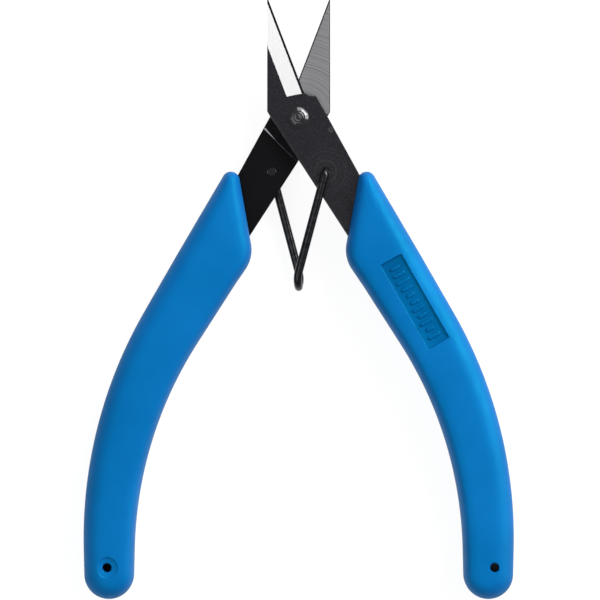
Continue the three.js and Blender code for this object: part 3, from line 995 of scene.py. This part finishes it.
def half_spring():
    """The wire's middle line from its hooked end to the lowest point of the U-bend."""
    u_start = Vector((0.0, leg_height - spring_reach))
    way = (u_start - hook_place).normalized()
    bend_end = hook_place + way * hook_bend

    def at(point, height):
        return Vector((point.x, point.y, height))

    rise_to = leg_height - hook_bend
    rise_middle = (hook_end_height + rise_to) / 2
    path = [at(hook_place, height) for height in (hook_end_height, rise_middle, rise_to)]
    path += bezier(
        path[-1],
        at(hook_place, leg_height - hook_bend * (1 - quarter_handle)),
        at(bend_end - way * hook_bend * quarter_handle, leg_height),
        at(bend_end, leg_height),
        hook_steps,
    )
    path += [at(bend_end.lerp(u_start, i / leg_steps), leg_height) for i in range(1, leg_steps + 1)]
    path += bezier(
        path[-1],
        at(u_start + way * leg_height * quarter_handle, leg_height),
        Vector((0.0, -spring_reach, leg_height * quarter_handle)),
        Vector((0.0, -spring_reach, 0.0)),
        u_bend_steps,
    )
    return path


front_half_path = half_spring()
rear_half_path = [Vector((-p.x, p.y, -p.z)) for p in front_half_path]
spring_path = [p + pivot for p in rear_half_path + front_half_path[-2::-1]]

spring_black = new_finish("spring_black", Metallic=0.85, Specular_IOR_Level=0.6)
wire_run = add(spring_black, "ShaderNodeAttribute", {"attribute_name": "wire_run"})
draw_lines = lines_by(spring_black, wire_run, "Fac", 900.0)
wire_stops = [(0.3, (0.009, 0.009, 0.01)), (0.7, (0.022, 0.022, 0.024))]
coat(spring_black, draw_lines, wire_stops, grain(spring_black, 900.0), 0.16, 0.26)


def drawn_wire(wire_finish):
    """Sweeps a round section along the edges of a path, and keeps the distance along it."""
    sizes = [("Wire Radius", "NodeSocketFloat"), ("Sides", "NodeSocketInt")]
    tree, sockets, given, taken = group_tree("drawn wire", sizes)
    to_curve = tree.nodes.new("GeometryNodeMeshToCurve")
    run = tree.nodes.new("GeometryNodeSplineParameter")
    keep_run = tree.nodes.new("GeometryNodeStoreNamedAttribute")
    keep_run.inputs["Name"].default_value = "wire_run"
    section = tree.nodes.new("GeometryNodeCurvePrimitiveCircle")
    sweep = tree.nodes.new("GeometryNodeCurveToMesh")
    sweep.inputs["Fill Caps"].default_value = True
    realize = tree.nodes.new("GeometryNodeRealizeInstances")
    paint = tree.nodes.new("GeometryNodeSetMaterial")
    paint.inputs["Material"].default_value = wire_finish
    join(
        tree,
        (given, "Geometry", to_curve, "Mesh"),
        (to_curve, "Curve", keep_run, "Geometry"),
        (run, "Length", keep_run, "Value"),
        (given, "Wire Radius", section, "Radius"),
        (given, "Sides", section, "Resolution"),
        (keep_run, "Geometry", sweep, "Curve"),
        (section, "Curve", sweep, "Profile Curve"),
        (sweep, "Mesh", realize, "Geometry"),
        (realize, "Geometry", paint, "Geometry"),
        (paint, "Geometry", taken, "Geometry"),
    )
    return tree, sockets


path_mesh = bpy.data.meshes.new("spring_path")
path_mesh.from_pydata(spring_path, [(i, i + 1) for i in range(len(spring_path) - 1)], [])
spring_maker = shown("spring_maker", path_mesh)
wire_tree, wire_sockets = drawn_wire(spring_black)
wire_modifier = spring_maker.modifiers.new("wire", "NODES")
wire_modifier.node_group = wire_tree
wire_modifier[wire_sockets["Wire Radius"]] = wire_radius
wire_modifier[wire_sockets["Sides"]] = wire_sides
spring = made_plain(spring_maker, "return_spring")
tidy_wire = bmesh.new()
tidy_wire.from_mesh(spring.data)
bmesh.ops.remove_doubles(tidy_wire, verts=tidy_wire.verts, dist=same_place / 10)
bmesh.ops.recalc_face_normals(tidy_wire, faces=tidy_wire.faces)
tidy_wire.to_mesh(spring.data)
tidy_wire.free()
crisp(spring.data, 45)
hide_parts("spring_rear_leg", "spring_front_leg")
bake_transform(spring)

# ---------- rivet and washers ----------
# A turned steel rivet holds the arms, its ends peened over two coned washers, all blackened and glossy.
# The rivet and both washers turn with the rear arm.
rivet_radius = 0.0016
tenon_radius = 0.00075
washer_radius = rivet_radius + 0.00045
washer_bore = tenon_radius + 0.00002
washer_low = face_out + 0.00002
turned_sides = 96

rivet_black = new_finish("rivet_black", Metallic=0.9, Specular_IOR_Level=0.6)
turning_lines = lines_by(rivet_black, away_from(rivet_black), "Value", 9000.0)
rivet_stops = [(0.3, (0.05, 0.0495, 0.051)), (0.7, (0.066, 0.065, 0.068))]
coat(rivet_black, turning_lines, rivet_stops, grain(rivet_black, 700.0), 0.14, 0.17)
give(rivet_black, "Normal", bump(rivet_black, turning_lines, 0.06, 0.00002), "Normal")

washer_height = 0.0006
washer_rim_height = 0.00012
cone_foot = washer_radius - 0.00008
cone_top = 0.00122
cone_steps = 10
cone_bulge = 0.15
washer_profile = [(washer_bore, 0.0), (washer_radius - 0.00003, 0.0), (washer_radius, 0.00004)]
for i in range(cone_steps + 1):
    share = i / cone_steps
    rise = share + cone_bulge * share * (1 - share)
    radius = cone_foot + (cone_top - cone_foot) * share
    washer_profile.append((radius, washer_rim_height + (washer_height - washer_rim_height) * rise))
washer_profile += [(tenon_radius + 0.0003, washer_height), (washer_bore, washer_height)]
for side, way in (("front", 1), ("rear", -1)):
    flip = Matrix.Rotation(0.0 if way > 0 else math.pi, 4, "X")
    seat = Matrix.Translation(pivot) @ flip @ Matrix.Translation((0.0, 0.0, washer_low))
    mesh = turned(washer_profile, turned_sides, side + "_washer_ring", seat)
    mesh.materials.append(rivet_black)
    crisp(mesh, 35)
    washer = shown(side + "_washer_ring", mesh)
    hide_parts(side + "_washer")
    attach(washer, "rear_half")

peen_low = washer_low + washer_height + 0.00001
peen_top = face_out + washer_height + 0.0004
peen_radius = tenon_radius + 0.00037
head_profile = [
    (rivet_radius, face_out - 0.00005),
    (rivet_radius - 0.00005, face_out),
    (tenon_radius, face_out),
    (tenon_radius, peen_low),
    (peen_radius - 0.00003, peen_low),
    (peen_radius, peen_low + 0.00004),
    (peen_radius - 0.00001, peen_low + 0.0001),
    (peen_radius - 0.00006, peen_low + 0.00018),
    (peen_radius - 0.00016, peen_top - 0.00008),
    (peen_radius - 0.0003, peen_top - 0.00002),
    (0.0006, peen_top),
    (0.0005, peen_top - 0.00001),
    (0.0004, peen_top - 0.00004),
    (0.00025, peen_top - 0.00008),
    (0.0001, peen_top - 0.0001),
    (0.0, peen_top - 0.0001),
]
rivet_profile = [(radius, -height) for radius, height in reversed(head_profile)] + head_profile
rivet_mesh = turned(rivet_profile, turned_sides, "peened_rivet", Matrix.Translation(pivot))
rivet_mesh.materials.append(rivet_black)
crisp(rivet_mesh, 35)
rivet = shown("peened_rivet", rivet_mesh)
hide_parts("pivot_rivet")
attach(rivet, "rear_half")
